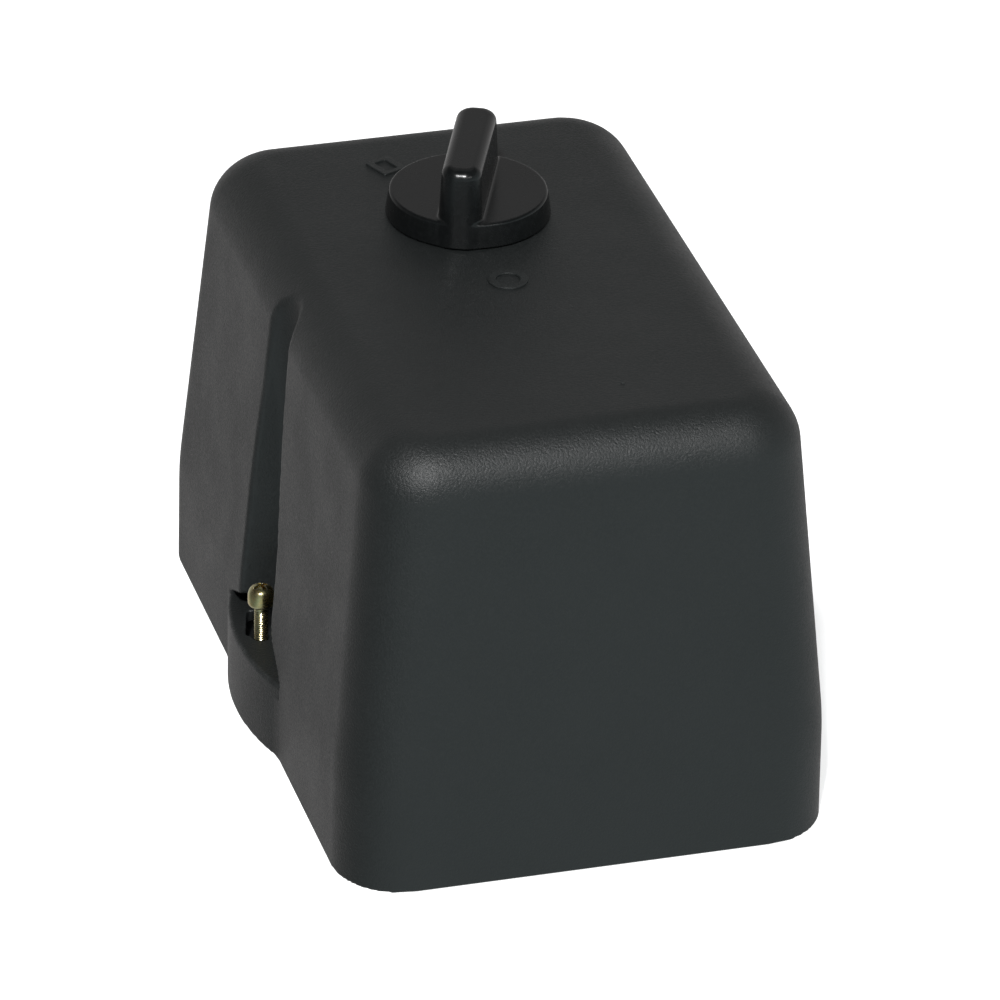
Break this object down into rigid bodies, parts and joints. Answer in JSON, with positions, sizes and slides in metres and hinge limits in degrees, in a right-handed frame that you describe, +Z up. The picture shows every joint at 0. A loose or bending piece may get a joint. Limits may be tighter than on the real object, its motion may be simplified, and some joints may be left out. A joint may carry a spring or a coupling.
{
  "type": "motor protection breaker",
  "caption": "Hooded motor protection breaker with a rotary grip knob on top, a driver channel down one side to its captive screw, and a base with contact block and thermal overload unit.",
  "frame": {"origin": "centre of the hood rim, on the surface the breaker stands on", "axes": "+Z up out of the mounting surface, +Y along the length towards the end nearer the knob, +X across, away from the side with the driver channel"},
  "size_m": [0.1112, 0.1572, 0.1151],
  "materials": {
    "hood_plastic": "fine spark-eroded grain, satin black",
    "knob_plastic": "smooth satin-gloss black",
    "tray_plastic": "fine grain, dark grey",
    "block_plastic": "brown thermoset, moulded",
    "case_plastic": "black thermoset, moulded",
    "natural_plastic": "natural nylon",
    "dial_plastic": "white moulded dial",
    "red_plastic": "red moulded button",
    "rubber_black": "moulded rubber",
    "zinc_yellow": "yellow zinc plated steel",
    "zinc_clear": "clear zinc plated steel",
    "plate_steel": "zinc plated sheet steel",
    "spring_steel": "drawn spring wire",
    "brass_bar": "stamped brass",
    "copper_bar": "stamped copper alloy with silvered tips",
    "bimetal_strip": "rolled bimetal strip",
    "earth_green": "green passivated screw"
  },
  "bodies": {
    "base": {"base_tray": "tray_plastic", "entry_grommet_left": "rubber_black", "entry_grommet_right": "rubber_black", "contact_block": "block_plastic", "bearing_plate": "plate_steel", "overload_case": "case_plastic", "earth_clamp": "brass_bar", "earth_screw": "earth_green", "block_screw_1": "zinc_clear", "block_screw_2": "zinc_clear", "overload_screw_1": "zinc_clear", "overload_screw_2": "zinc_clear", "line_contact_1": "brass_bar", "load_contact_1": "brass_bar", "load_terminal_1": "brass_bar", "line_terminal_screw_1": "zinc_clear", "load_terminal_screw_1": "zinc_clear", "bimetal_1": "bimetal_strip", "line_contact_2": "brass_bar", "load_contact_2": "brass_bar", "load_terminal_2": "brass_bar", "line_terminal_screw_2": "zinc_clear", "load_terminal_screw_2": "zinc_clear", "bimetal_2": "bimetal_strip", "line_contact_3": "brass_bar", "load_contact_3": "brass_bar", "load_terminal_3": "brass_bar", "line_terminal_screw_3": "zinc_clear", "load_terminal_screw_3": "zinc_clear", "bimetal_3": "bimetal_strip"},
    "hood_shell": {"hood": "hood_plastic", "knob_seal": "rubber_black", "screw_keeper": "rubber_black"},
    "knob_turner": {"knob": "knob_plastic", "knob_clip": "plate_steel"},
    "hood_fastener": {"hood_screw": "zinc_yellow"},
    "spindle_cam": {"spindle": "zinc_clear", "cam": "natural_plastic"},
    "carrier": {"contact_carrier": "natural_plastic", "return_spring_left": "spring_steel", "return_spring_right": "spring_steel", "bridge_1": "copper_bar", "contact_spring_1": "spring_steel", "bridge_2": "copper_bar", "contact_spring_2": "spring_steel", "bridge_3": "copper_bar", "contact_spring_3": "spring_steel"},
    "trip_bar": {"trip_slide": "natural_plastic"},
    "latch": {"trip_latch": "plate_steel"},
    "dial": {"setting_dial": "dial_plastic"},
    "reset": {"reset_button": "red_plastic", "reset_spring": "spring_steel"}
  },
  "joints": [
    {"name": "hood_lift", "type": "slide", "parent": "base", "child": "hood_shell", "axis": [0, 0, 1], "range_m": [0, 0.06]},
    {"name": "knob_turn", "type": "hinge", "parent": "hood_shell", "child": "knob_turner", "pos_m": [0.0009, 0.0273, 0.1], "axis": [0, 0, 1], "range_deg": [-45, 45]},
    {"name": "spindle_turn", "type": "hinge", "parent": "base", "child": "spindle_cam", "pos_m": [0.0009, 0.0273, 0.06], "axis": [0, 0, 1], "range_deg": [-45, 45]},
    {"name": "carrier_slide", "type": "slide", "parent": "base", "child": "carrier", "axis": [0, 0, 1], "range_m": [-0.002, 0.002], "deforming": ["return_spring_left", "return_spring_right"]},
    {"name": "hood_screw_drive", "type": "slide", "parent": "hood_shell", "child": "hood_fastener", "axis": [0, 0, -1], "range_m": [0, 0.007]},
    {"name": "trip_travel", "type": "slide", "parent": "base", "child": "trip_bar", "axis": [1, 0, 0], "range_m": [0, 0.0022], "stiffness_N_per_m": 100, "springref_m": -0.001},
    {"name": "latch_turn", "type": "hinge", "parent": "base", "child": "latch", "pos_m": [0.0295, -0.0142, 0.048], "axis": [0, 0, 1], "range_deg": [0, 22]},
    {"name": "dial_turn", "type": "hinge", "parent": "base", "child": "dial", "pos_m": [-0.0191, -0.0475, 0.048], "axis": [0, 0, 1], "range_deg": [-120, 120]},
    {"name": "reset_press", "type": "slide", "parent": "base", "child": "reset", "axis": [0, 0, -1], "range_m": [0, 0.003], "stiffness_N_per_m": 400, "springref_m": -0.002, "deforming": ["reset_spring"]}
  ],
  "couplings": [
    {"joint": "knob_turn", "follows": "carrier_slide", "rad_per_m": -392.6},
    {"joint": "spindle_turn", "follows": "carrier_slide", "rad_per_m": -392.6},
    {"joint": "latch_turn", "follows": "trip_travel", "rad_per_m": 166.7}
  ]
}
